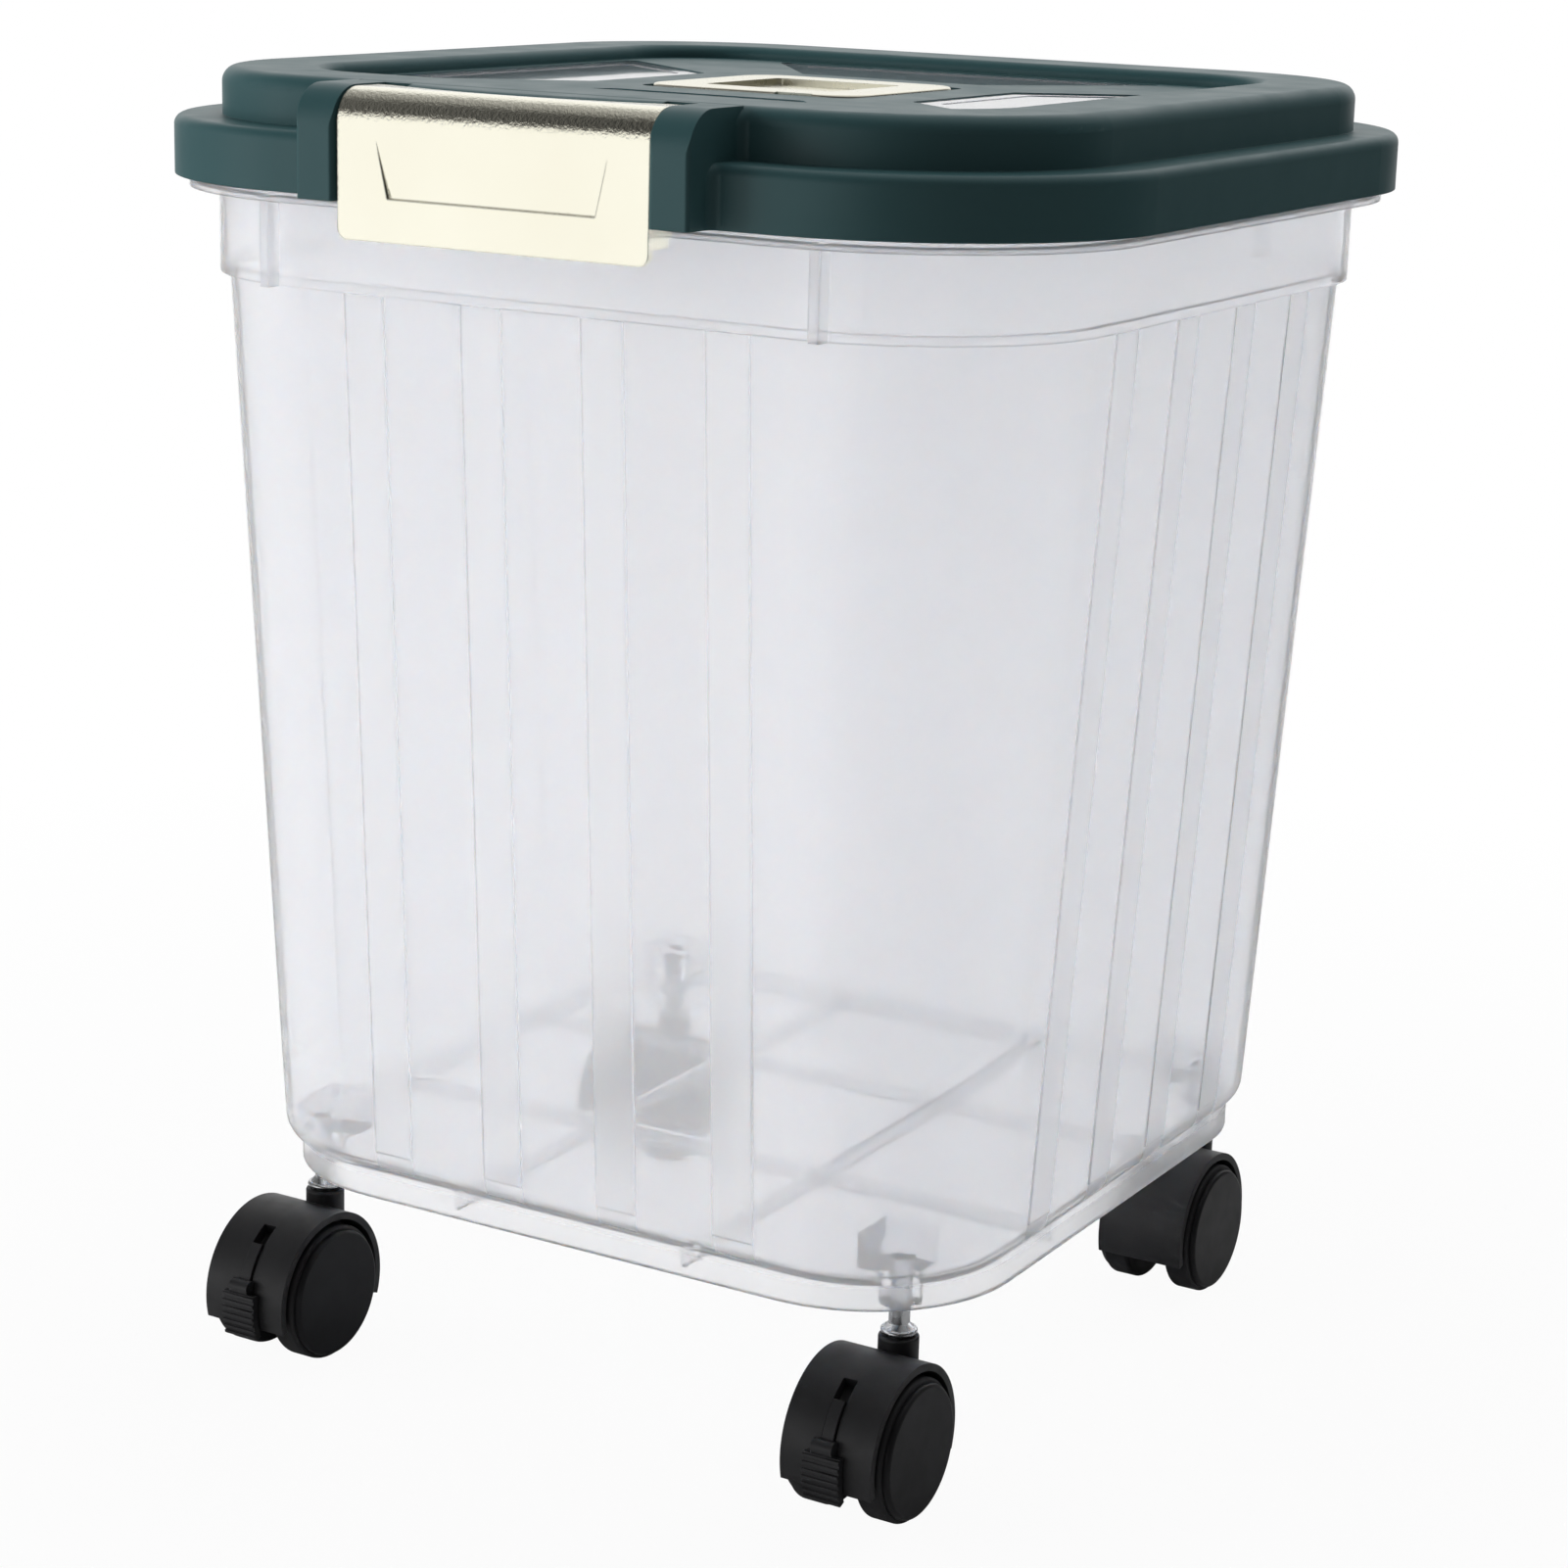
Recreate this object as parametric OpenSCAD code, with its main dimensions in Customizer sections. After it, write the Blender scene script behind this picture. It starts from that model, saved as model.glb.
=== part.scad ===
// Rice bin on four swivel casters: a clear tapered tub, and a flip lid that turns on
// a rear hinge and is held down by a front latch.
// Millimetres. +Z is up, the latch faces -Y, and the origin is on the floor under the middle.

/* [Lid] */
// Width and depth of the lid skirt
lid_w = 300; // [280:1:330]
// Corner radius of the lid skirt, seen from above
lid_corner_r = 73; // [66:1:80]
// Height of the lid skirt
skirt_h = 16.5; // [14:0.5:22]
// Height of the raised top of the lid above the skirt
tier_h = 13.5; // [12:0.5:18]
// How far the raised top is set in from the skirt
tier_inset = 13.5; // [12:0.5:16]
// Wall of the lid
lid_wall = 2.2; // [1.8:0.1:2.8]
// Rounding of the skirt's and the recess's edges
lid_edge_r = 3; // [2:0.25:3.5]
// Rounding of the raised top's outer edge
tier_edge_r = 4.5; // [3:0.25:5]
// Width of the flat rim round the recess in the lid's top
rim_w = 28.5; // [24:0.5:32]
// Depth of the recess in the lid's top
recess_depth = 4; // [3:0.25:5]

/* [Lid windows] */
// Distance between the outer edge of a window and the rim of the recess
window_margin = 4; // [3:0.5:10]
// Distance from the middle to the inner edge of a window
window_near = 53; // [48:1:58]
// Half length of a window's outer edge
window_far_half = 70; // [60:1:72]
// Half length of a window's inner edge
window_near_half = 31; // [24:1:36]
// Corner radius of a window
window_r = 3; // [2:0.5:6]
// Thickness of a window pane's flange
pane_t = 1.7; // [1.4:0.1:2]
// How far the flange of a pane reaches under the lid
pane_lap = 3; // [2:0.5:3.5]
// How far the face of a pane is raised into its window
pane_rise = 0.7; // [0.3:0.1:1.2]
// Width of the level border round the dish of a pane
pane_border = 7; // [5:0.5:9]
// Depth of the dish in a pane
pane_dish = 2.2; // [1.6:0.1:2.6]

/* [Centre plate] */
// Width of the square plate in the middle of the lid
plate_w = 70; // [60:1:76]
// Corner radius of the plate
plate_r = 12; // [8:0.5:16]
// Thickness of the plate
plate_t = 3.6; // [3:0.1:4.4]
// How far the plate stands above the lid round it
plate_rise = 0.6; // [0.2:0.1:1]
// Width of the square dish in the plate
dish_w = 42; // [30:1:48]
// Depth of the dish
dish_depth = 2; // [1:0.1:2.4]
// Width of the notch in the plate's front edge
notch_w = 12; // [8:1:16]

/* [Latch] */
// How far the cheeks beside the latch stand out from the skirt
cheek_reach = 10.5; // [9:0.5:14]
// Width of each cheek
cheek_w = 12; // [9:0.5:15]
// Width of the latch plate
latch_w = 97.4; // [84:0.2:104]
// Rounding of the cheeks' upright front edges
cheek_edge_r = 1.2; // [0.8:0.1:2]
// Radius of the inner corners between the cheeks and the lid
cheek_corner_r = 3; // [2:0.5:4]
// Gap at each side of the latch plate
latch_gap = 0.6; // [0.4:0.1:1]
// How far the latch plate lies behind the front of the cheeks
latch_setback = 1.6; // [0.8:0.1:2.4]
// Thickness of the latch plate
latch_t = 2; // [1.6:0.1:2.4]
// Outer radius of the bend at the top of the latch plate
latch_bend_r = 9; // [7:0.5:11]
// How far the latch plate reaches below the skirt
latch_drop = 9.8; // [8:0.2:13]
// How far the ends of the latch's rear edge lie behind its middle
latch_sag = 9.6; // [6:0.2:10]
// Flat depth of the latch's top between its bend and the middle of its rear edge
latch_flat = 0.8; // [0.4:0.2:3]
// Radius of the latch's ears
ear_r = 2.8; // [2.6:0.1:3]
// Length of the latch's ears
ear_l = 5; // [4:0.5:7]
// Radius of the latch pins
latch_pin_r = 1.4; // [1:0.1:1.6]
// How deep the latch pins sit in the cheeks
latch_pin_seat = 6; // [4:0.5:8]
// Depth of the finger hollow at its lower end
grip_depth = 1; // [0.4:0.1:1.2]

/* [Tub] */
// Height of the tub, from the bottom of its foot to the top of its rim
tub_h = 306.8; // [240:0.2:340]
// Wall of the tub
tub_wall = 2.2; // [1.8:0.1:2.8]
// Thickness of the tub's floor
floor_t = 2.4; // [2:0.1:3]
// How much narrower each side of the wall is at the bottom
wall_taper = 14.3; // [8:0.1:18]
// Outer radius between the wall and the floor
bottom_r = 8; // [6:0.5:9]
// Height of the straight band under the rim flange
band_h = 26.9; // [20:0.1:34]
// How far the band stands out from the wall below it
band_step = 2.8; // [2.4:0.1:3.4]
// How far the rim flange reaches out from the band
flange_reach = 8.4; // [7:0.1:9]
// Thickness of the rim flange
flange_t = 1.8; // [1.4:0.1:2.2]
// Height of the lip round the edge of the flange
lip_h = 3; // [2.4:0.1:3.8]
// Height of the rim above the flange
upstand_h = 10.4; // [9:0.2:12]
// Height of the foot that stands below the floor
foot_h = 7; // [5:0.2:9]
// Half width of the foot
foot_inset = 2; // [1:0.1:3]
// Corner radius of the foot
foot_corner_r = 48; // [44:1:54]
// Raised strips on each wall
strip_count = 4; // [2:1:5]
// Width of a raised strip
strip_w = 13; // [8:0.5:16]
// Distance from one strip to the next
strip_pitch = 38.7; // [26:0.1:39]
// How far a strip stands out from the wall
strip_t = 0.6; // [0.3:0.1:1]
// Thickness of the short ribs under the flange
gusset_w = 3; // [2:0.5:4]
// How far the short ribs stand out from the band
gusset_reach = 5; // [3:0.5:6]
// Distance of the short ribs beyond the start of the tub's rounded corners
gusset_beyond = 10; // [4:1:14]
// Distance of the floor ribs from the middle
floor_rib_pos = 39; // [30:1:60]
// Thickness of the floor ribs
floor_rib_t = 1.8; // [1.4:0.1:2.4]

/* [Hinge] */
// Radius of the hinge knuckles
knuckle_r = 5; // [4.5:0.25:5.5]
// Radius of the hinge pins
hinge_pin_r = 2; // [1.5:0.1:2.4]
// Distance of the joint between lid and tub knuckles from the middle
hinge_split = 46; // [40:1:54]
// Length of each knuckle
knuckle_l = 14; // [10:0.5:18]
// Gap between neighbouring knuckles
knuckle_gap = 0.4; // [0.3:0.1:0.8]

/* [Casters] */
// Distance of each caster stem in from the sides of the foot
stem_inset = 18.5; // [17.5:0.5:24]
// Clear height from the floor to the bottom of the foot
ride_h = 55.5; // [54:0.5:62]
// Diameter of the caster wheels
wheel_d = 41; // [38:0.5:42]
// Distance of the wheel axle behind the stem
trail = 15.5; // [14.5:0.5:17]
// Outer radius of the caster hood
hood_r = 24.3; // [23.6:0.1:25]
// Wall of the caster hood
hood_wall = 2.2; // [1.8:0.1:2.6]
// Thickness of the hood's web between the wheels
web_w = 8; // [6:0.5:11]
// Overall width of the hood
hood_w = 28.4; // [26:0.2:31]
// Width of one wheel's tread
tread_w = 8.4; // [7.6:0.2:8.8]
// Thickness of a wheel cap
cap_t = 1.8; // [1.4:0.1:2.4]
// Radius of the collar round the stem
collar_r = 5.8; // [5.2:0.1:6]
// Radius of the stem
stem_r = 3; // [2.6:0.1:3.3]
// Radius of the stem's flange
stem_flange_r = 5.2; // [4.6:0.1:5.8]
// Radius of the wheel axle
axle_r = 2; // [1.6:0.1:2.4]
// Width of the slot for the brake
slot_w = 4.4; // [4:0.2:5]
// Width of the brake pad
brake_w = 11.4; // [9:0.2:13]

/* [Fits] */
// Gap between parts that move past each other
clear = 0.4; // [0.3:0.05:0.6]
// Gap of the lid's plug in the rim, which lets it swing out past the rim
plug_clear = 1.5; // [1.2:0.1:2]
// Radial gap round a pin where it is held
held_clear = 0.02; // [0.01:0.01:0.03]
// Radial running clearance round a pin or stem
run_clear = 0.06; // [0.03:0.01:0.09]

/* [Hidden] */
$fn = 96;

LID_GREEN = [0.16, 0.27, 0.27];
CLEAR_PP = [0.88, 0.9, 0.93, 0.4];
GOLD = [0.93, 0.87, 0.68];
BLACK = [0.1, 0.1, 0.11];
ZINC = [0.8, 0.81, 0.83];
SEAL = [0.9, 0.9, 0.88];

// Every outline of tub and lid is a square with rounded corners about these shared corner
// centres, so a profile is given as distance beyond the corner centre and height.
corner_c = lid_w / 2 - lid_corner_r;

// Lid and rim, as distances beyond the corner centre
skirt_d = lid_corner_r;
tier_d = skirt_d - tier_inset;
recess_d = tier_d - rim_w;
window_far = corner_c + recess_d - window_margin;
flange_d = skirt_d - lid_wall - 1.8;
band_d = flange_d - flange_reach;
wall_top_d = band_d - band_step;
wall_bottom_d = wall_top_d - wall_taper;
foot_half = corner_c + wall_bottom_d - foot_inset;
stem_pos = foot_half - stem_inset;
gusset_pos = corner_c + gusset_beyond;
rim_inner_d = band_d - tub_wall;
plug_d = rim_inner_d - plug_clear;
seal_inner_d = rim_inner_d - 0.4;
plug_t = 2;
seal_guard_t = 1.6;
seal_gap = 0.1;
seal_outer_d = band_d + 0.9;

// Heights above the floor
tub_bottom_z = ride_h + foot_h;
floor_z = tub_bottom_z + floor_t;
rim_z = ride_h + tub_h;
flange_z = rim_z - upstand_h;
step_z = flange_z - band_h;
skirt_z = flange_z + clear;
ledge_z = skirt_z + skirt_h;
top_z = ledge_z + tier_h;
strap_z = top_z - recess_depth;
seal_bottom_z = rim_z + 0.3;

wall_h = step_z - tub_bottom_z;
wall_angle = atan(wall_taper / wall_h);

// Well for the centre plate
plate_gap = 0.35;
well_z = strap_z + plate_rise - plate_t;
well_r = 5;

// Latch
front_y = lid_w / 2 + cheek_reach;
latch_front_y = front_y - latch_setback;
bay_half = latch_w / 2 + latch_gap;
latch_top_z = top_z - 0.3;
latch_bottom_z = skirt_z - latch_drop;
sag_r = (pow(latch_w / 2, 2) + pow(latch_sag, 2)) / (2 * latch_sag);
sag_axis_y = latch_front_y - latch_bend_r - latch_flat - sag_r;
ear_out = 2.1;
ear_below = 0.2;
latch_axis_y = sag_axis_y + sag_r - latch_sag + ear_out;
latch_axis_z = latch_top_z - ear_r - ear_below;
bay_back_y = latch_axis_y - ear_r - 4 * clear;
bay_floor_z = ledge_z;
bulge_gap = 1;
bulge_half = latch_w / 2 - ear_l - bulge_gap - ear_r;
bulge_edge_r = 4;
hook_tip_y = corner_c + flange_d + clear;
hook_sweep_r = norm([lid_w / 2 - latch_axis_y, latch_axis_z - skirt_z]) + clear;
hook_below = 2.4;
hook_bottom_z = flange_z - lip_h - hook_below;

// Hinge
hinge_y = front_y - knuckle_r;
hinge_drop = 1.5;
hinge_z = skirt_z + knuckle_r - hinge_drop;
hinge_pin_half = knuckle_l + knuckle_gap / 2 - 2;

// Casters, all trailing towards the front
wheel_r = wheel_d / 2;
hood_inner_r = hood_r - hood_wall;
collar_z = wheel_r + hood_r + 1.4;
stem_top_z = tub_bottom_z + 7;
wheel_in_x = hood_w / 2 + 0.8 - tread_w;
cap_r = wheel_r - 1.3;
dome_front_angle = -15;
dome_rear_angle = 200;
slot_top_angle = 63;
brake_top_angle = 46;
brake_boss_angle = 15;
brake_pad_top_angle = 11;
brake_pad_bottom_angle = -20;

// ---------- shared shapes ----------

// Sweeps a 2-D profile round the square with rounded corners that tub and lid share.
module sweep_round_square() {
    for (turn = [0, 90, 180, 270])
        rotate(turn)
            translate([corner_c, corner_c, 0]) {
                rotate_extrude(angle = 90)
                    children();
                rotate([90, 0, 0])
                    linear_extrude(2 * corner_c)
                        children();
            }
}

// Rectangle between two distances and two heights.
module span(x0, x1, y0, y1) {
    translate([x0, y0])
        square([x1 - x0, y1 - y0]);
}

// Rectangle from the axis outwards, with its top outer edge rounded.
module rounded_step(x1, y0, y1, r) {
    span(0, x1, y0, y1 - r);
    span(0, x1 - r, y0, y1);
    intersection() {
        translate([x1 - r, y1 - r])
            circle(r);
        span(x1 - r - 1, x1, y1 - r, y1);
    }
}

module rounded_square(w, r) {
    square([w, w - 2 * r], center = true);
    square([w - 2 * r, w], center = true);
    for (x = [-1, 1], y = [-1, 1])
        translate([x * (w / 2 - r), y * (w / 2 - r)])
            circle(r);
}

function unit(v) = v / norm(v);

// Convex polygon with every corner rounded by a true arc.
module rounded_polygon(points, r) {
    n = len(points);
    corners = [for (i = [0:n - 1])
        let (
            p = points[i],
            a = unit(points[(i + n - 1) % n] - p),
            b = unit(points[(i + 1) % n] - p),
            half_angle = acos(a * b) / 2
        )
        [p + a * r / tan(half_angle), p + unit(a + b) * r / sin(half_angle), p + b * r / tan(half_angle)]];
    polygon([for (c = corners) each [c[0], c[2]]]);
    for (c = corners)
        translate(c[1])
            circle(r);
}

// Sector of a ring about the wheel axis, which lies along X at the origin.
// Angles count from the front horizontal upwards.
module arc_band(r0, r1, w, a0, a1) {
    rotate([0, 90, 0])
        rotate([0, 0, 270 - a1])
            rotate_extrude(angle = a1 - a0)
                span(r0, r1, -w / 2, w / 2);
}

module rod_x(r, l) {
    rotate([0, 90, 0])
        cylinder(h = l, r = r, center = true);
}

// ---------- tub ----------

// Outline of the tapered wall with a rounded bottom edge.
// inset is the distance inside the outer face, and z0 the height of the bottom.
module wall_profile(inset, z0) {
    r = bottom_r - inset;
    x0 = wall_bottom_d - inset + (z0 - tub_bottom_z) * tan(wall_angle);
    x1 = wall_top_d - inset;
    cx = x0 + r * tan(wall_angle) - r / cos(wall_angle);
    cz = z0 + r;
    tangent = [cx + r * cos(wall_angle), cz - r * sin(wall_angle)];
    polygon([[0, z0], [cx, z0], tangent, [x1, step_z], [0, step_z]]);
    translate([cx, cz])
        circle(r);
}

module tub_profile() {
    difference() {
        union() {
            wall_profile(0, tub_bottom_z);
            span(0, band_d, step_z, rim_z);
        }
        wall_profile(tub_wall, floor_z);
        span(0, wall_top_d - tub_wall, step_z - 1, step_z + tub_wall + 1);
        span(0, rim_inner_d, step_z + tub_wall, rim_z + 1);
    }
    span(band_d - 1, flange_d, flange_z - flange_t, flange_z);
    span(flange_d - flange_t, flange_d, flange_z - lip_h, flange_z);
}

module foot_ring() {
    foot_w = 2 * foot_half;
    translate([0, 0, ride_h])
        linear_extrude(foot_h + floor_t + 0.4)
            difference() {
                rounded_square(foot_w, foot_corner_r);
                rounded_square(foot_w - 2 * tub_wall, foot_corner_r - tub_wall);
            }
}

module floor_ribs() {
    rib_l = 2 * foot_half - tub_wall;
    for (turn = [0, 90], side = [-1, 1])
        rotate(turn)
            translate([side * floor_rib_pos - floor_rib_t / 2, -rib_l / 2, ride_h + 2])
                cube([floor_rib_t, rib_l, foot_h - 1]);
}

// Blind socket for each caster stem: a block inside the tub and a round boss inside the foot.
module stem_bosses() {
    boss_in = 11;
    boss_out = 5.5;
    boss_h = 13;
    for (turn = [0, 90, 180, 270])
        rotate(turn) {
            translate([stem_pos - boss_in, stem_pos - boss_in, tub_bottom_z])
                cube([boss_in + boss_out, boss_in + boss_out, boss_h]);
            translate([stem_pos, stem_pos, ride_h + 0.5])
                cylinder(h = foot_h, r = 2 * stem_r);
        }
}

module wall_strips() {
    strip_h = (step_z - tub_bottom_z - bottom_r) / cos(wall_angle);
    for (turn = [0, 90, 180, 270])
        rotate(turn)
            translate([corner_c + wall_bottom_d, 0, tub_bottom_z])
                rotate([0, wall_angle, 0])
                    for (i = [0:strip_count - 1])
                        translate([-1, (i - (strip_count - 1) / 2) * strip_pitch - strip_w / 2, bottom_r + 1])
                            cube([1 + strip_t, strip_w, strip_h]);
}

module gussets() {
    band_y = corner_c + sqrt(pow(band_d, 2) - pow(gusset_pos - corner_c, 2));
    for (x = [-1, 1], turn = [0, 180])
        rotate(turn)
            translate([x * gusset_pos - gusset_w / 2, -band_y - gusset_reach, step_z])
                cube([gusset_w, gusset_reach + 1, band_h - flange_t / 2]);
}

module tub_knuckles() {
    arm_z = flange_z - lip_h;
    for (x = [-1, 1])
        translate([x * (hinge_split - knuckle_l / 2 - knuckle_gap / 2), 0, 0]) {
            translate([0, hinge_y, hinge_z])
                rod_x(knuckle_r, knuckle_l);
            translate([-knuckle_l / 2, corner_c + flange_d - 1, arm_z])
                cube([knuckle_l, hinge_y - corner_c - flange_d + 1, lip_h]);
        }
}

module bin_body() {
    color(CLEAR_PP)
        difference() {
            union() {
                sweep_round_square()
                    tub_profile();
                translate([-corner_c, -corner_c, tub_bottom_z])
                    cube([2 * corner_c, 2 * corner_c, floor_t]);
                foot_ring();
                floor_ribs();
                stem_bosses();
                wall_strips();
                gussets();
                tub_knuckles();
            }
            for (x = [-1, 1], y = [-1, 1])
                translate([x * stem_pos, y * stem_pos, ride_h])
                    cylinder(h = stem_top_z - ride_h, r = stem_r + held_clear);
            translate([0, hinge_y, hinge_z])
                rod_x(hinge_pin_r + run_clear, 2 * hinge_split);
        }
}

// ---------- lid ----------

module lid_outline() {
    difference() {
        union() {
            rounded_step(skirt_d, skirt_z, ledge_z, lid_edge_r);
            rounded_step(tier_d, skirt_z, top_z, tier_edge_r);
        }
        span(-1, recess_d, strap_z, top_z + 1);
        difference() {
            span(recess_d - 1, recess_d + lid_edge_r, top_z - lid_edge_r, top_z + 1);
            translate([recess_d + lid_edge_r, top_z - lid_edge_r])
                circle(lid_edge_r);
        }
    }
}

module lid_hollow() {
    span(-1, skirt_d - lid_wall, skirt_z - 1, ledge_z - lid_wall);
    span(-1, tier_d - lid_wall, skirt_z - 1, strap_z - lid_wall);
    span(recess_d + lid_wall, tier_d - lid_wall, skirt_z - 1, top_z - lid_wall);
}

module lid_profile() {
    difference() {
        lid_outline();
        lid_hollow();
    }
    span(plug_d - plug_t, plug_d, flange_z + 2, ledge_z);
    span(plug_d - plug_t, tier_d, ledge_z - lid_wall, ledge_z);
    span(seal_outer_d + seal_gap, seal_outer_d + seal_gap + seal_guard_t, rim_z - 1, ledge_z - 1);
}

function window_points(grow) =
    let (
        near = window_near - grow,
        far = window_far + grow,
        slope = (window_far_half - window_near_half) / (window_far - window_near),
        side = grow * sqrt(1 + slope * slope)
    )
    [[-window_near_half - side + slope * grow, near], [window_near_half + side - slope * grow, near],
        [window_far_half + side + slope * grow, far], [-window_far_half - side - slope * grow, far]];

module window_holes() {
    for (turn = [0, 90, 180, 270])
        rotate(turn)
            translate([0, 0, strap_z - lid_wall - 1])
                linear_extrude(lid_wall + 2)
                    rounded_polygon(window_points(0), window_r);
}

// Block under the middle of the lid that carries the centre plate.
module plate_seat() {
    seat_t = 1.8;
    seat_margin = 2.5;
    translate([0, 0, well_z - seat_t])
        linear_extrude(strap_z - well_z + seat_t - lid_wall / 2)
            rounded_square(plate_w + 2 * seat_margin, well_r + seat_margin);
}

module latch_bay() {
    translate([-bay_half, -(lid_w / 2 + 1), bay_floor_z])
        cube([2 * bay_half, lid_w / 2 + 1 - bay_back_y, tier_h + 1]);
}

// Inner wall, floor and curved back of the latch bay.
module bay_lining() {
    translate([-bay_half - 1, -bay_back_y, ledge_z - lid_wall])
        cube([2 * bay_half + 2, lid_wall, tier_h + lid_wall]);
    translate([-bay_half - 1, -(lid_w / 2 - tier_inset), ledge_z - lid_wall])
        cube([2 * bay_half + 2, lid_w / 2 - tier_inset - bay_back_y + 1, lid_wall]);
    intersection() {
        translate([0, -sag_axis_y, 0])
            rotate_extrude()
                difference() {
                    rounded_step(sag_r - bulge_gap, ledge_z - 1, top_z, bulge_edge_r);
                    span(-1, sag_r - bulge_gap - lid_wall, ledge_z - 2, top_z - lid_wall);
                }
        translate([-bulge_half, -lid_w / 2, ledge_z - 1])
            cube([2 * bulge_half, lid_w / 2 - bay_back_y + lid_wall / 2, tier_h + 1]);
    }
}

// Side view of a cheek beside the latch, with a broad rounding from its front to its top.
module cheek_profile() {
    r = cheek_reach + 0.5;
    translate([-front_y, skirt_z])
        square([cheek_reach + 1, top_z - skirt_z - r]);
    translate([-front_y + r, top_z - r])
        intersection() {
            circle(r);
            translate([-r, -1])
                square([r + 1, r + 1]);
        }
    translate([-front_y + r, ledge_z - 1])
        square([front_y - r - bay_back_y + lid_wall, top_z - ledge_z + 1]);
}

// Plan view of a cheek, with rounded front corners.
module cheek_plan() {
    r = cheek_edge_r;
    depth = front_y - bay_back_y + lid_wall;
    translate([bay_half, -front_y + r])
        square([cheek_w, depth - r]);
    translate([bay_half + r, -front_y])
        square([cheek_w - 2 * r, depth]);
    for (x = [bay_half + r, bay_half + cheek_w - r])
        translate([x, -front_y + r])
            circle(r);
}

// Fills the inner corner between a cheek and the wall beside it with a hollow round, and leads
// the wall's rounded top edge round it.
module cheek_corner(wall_y, z0, z1, edge_r) {
    r = cheek_corner_r;
    difference() {
        translate([bay_half + cheek_w - 1, -wall_y - r, z0])
            cube([r + 1, r + edge_r, z1 - z0]);
        translate([bay_half + cheek_w + r, -wall_y - r, 0])
            rotate_extrude() {
                span(0, r, z0 - 1, z1 + 1);
                difference() {
                    span(r - 0.1, r + edge_r, z1 - edge_r, z1 + 1);
                    translate([r + edge_r, z1 - edge_r])
                        circle(edge_r);
                }
            }
    }
}

module cheek() {
    intersection() {
        translate([bay_half, 0, 0])
            rotate([90, 0, 90])
                linear_extrude(cheek_w)
                    cheek_profile();
        translate([0, 0, skirt_z - 1])
            linear_extrude(top_z - skirt_z + 2)
                cheek_plan();
    }
    cheek_corner(lid_w / 2, skirt_z, ledge_z, lid_edge_r);
    cheek_corner(lid_w / 2 - tier_inset, ledge_z - 1, top_z, tier_edge_r);
}

module lid_knuckles() {
    for (x = [-1, 1])
        translate([x * (hinge_split + knuckle_l / 2 + knuckle_gap / 2), 0, 0]) {
            translate([0, hinge_y, hinge_z])
                rod_x(knuckle_r, knuckle_l);
            translate([-knuckle_l / 2, lid_w / 2 - 1, skirt_z])
                cube([knuckle_l, hinge_y - lid_w / 2 + 1, hinge_z + knuckle_r - skirt_z]);
        }
}

module lid_frame() {
    color(LID_GREEN)
        difference() {
            union() {
                difference() {
                    union() {
                        sweep_round_square()
                            lid_profile();
                        translate([-corner_c, -corner_c, strap_z - lid_wall])
                            cube([2 * corner_c, 2 * corner_c, lid_wall]);
                    }
                    latch_bay();
                }
                bay_lining();
                cheek();
                mirror([1, 0, 0])
                    cheek();
                plate_seat();
                lid_knuckles();
            }
            window_holes();
            translate([0, 0, well_z])
                linear_extrude(plate_t + 1)
                    rounded_square(plate_w + 2 * plate_gap, well_r);
            for (x = [-1, 1])
                translate([x * (bay_half + latch_pin_seat / 2), -latch_axis_y, latch_axis_z])
                    rod_x(latch_pin_r + held_clear, latch_pin_seat);
            translate([0, hinge_y, hinge_z])
                rod_x(hinge_pin_r + held_clear, 2 * (hinge_split + hinge_pin_half + clear));
        }
}

// Clear pane: a flange under the lid, a face raised into the window and a shallow tray within it.
module window_pane(turn) {
    pane_z = strap_z - lid_wall - pane_t;
    tray_z = pane_rise - pane_dish;
    color(CLEAR_PP)
        rotate(turn)
            translate([0, 0, pane_z])
                difference() {
                    union() {
                        linear_extrude(pane_t)
                            rounded_polygon(window_points(pane_lap), window_r + pane_lap);
                        linear_extrude(pane_t + pane_rise)
                            rounded_polygon(window_points(-clear / 2), window_r - clear / 2);
                        translate([0, 0, tray_z])
                            linear_extrude(pane_t)
                                rounded_polygon(window_points(pane_t - pane_border), window_r);
                    }
                    translate([0, 0, tray_z + pane_t])
                        linear_extrude(pane_dish + 1)
                            rounded_polygon(window_points(-pane_border), window_r);
                }
}

module window_front() {
    window_pane(180);
}

module window_rear() {
    window_pane(0);
}

module window_left() {
    window_pane(90);
}

module window_right() {
    window_pane(270);
}

// Plate with a rounded upper edge, a square dish, two short slots in the dish and a notch in
// its front edge.
module centre_plate() {
    edge_r = 0.8;
    dish_r = 2;
    slot = [5, 0.8];
    slot_step = 2.6;
    slot_start = dish_w / 2 - dish_r;
    notch_depth = 1.2;
    side = plate_w / 2 - plate_r;
    color(GOLD)
        translate([0, 0, well_z])
            difference() {
                union() {
                    for (turn = [0, 90, 180, 270])
                        rotate(turn)
                            translate([side, side, 0]) {
                                rotate_extrude(angle = 90)
                                    rounded_step(plate_r, 0, plate_t, edge_r);
                                rotate([90, 0, 0])
                                    linear_extrude(2 * side)
                                        rounded_step(plate_r, 0, plate_t, edge_r);
                            }
                    translate([-side, -side, 0])
                        cube([2 * side, 2 * side, plate_t]);
                }
                translate([0, 0, plate_t - dish_depth])
                    linear_extrude(dish_depth + 1)
                        rounded_square(dish_w, dish_r);
                for (i = [1, 2])
                    translate([-slot_start, slot_start - i * slot_step, plate_t - dish_depth - slot[1]])
                        cube([slot[0], slot[1], dish_depth]);
                translate([side - notch_w, -plate_w / 2 - 1, plate_t / 2])
                    cube([notch_w, notch_depth + 1, plate_t]);
            }
}

module lid_gasket() {
    color(SEAL)
        sweep_round_square()
            span(seal_inner_d, seal_outer_d, seal_bottom_z, ledge_z - lid_wall);
}

// ---------- latch ----------

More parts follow.
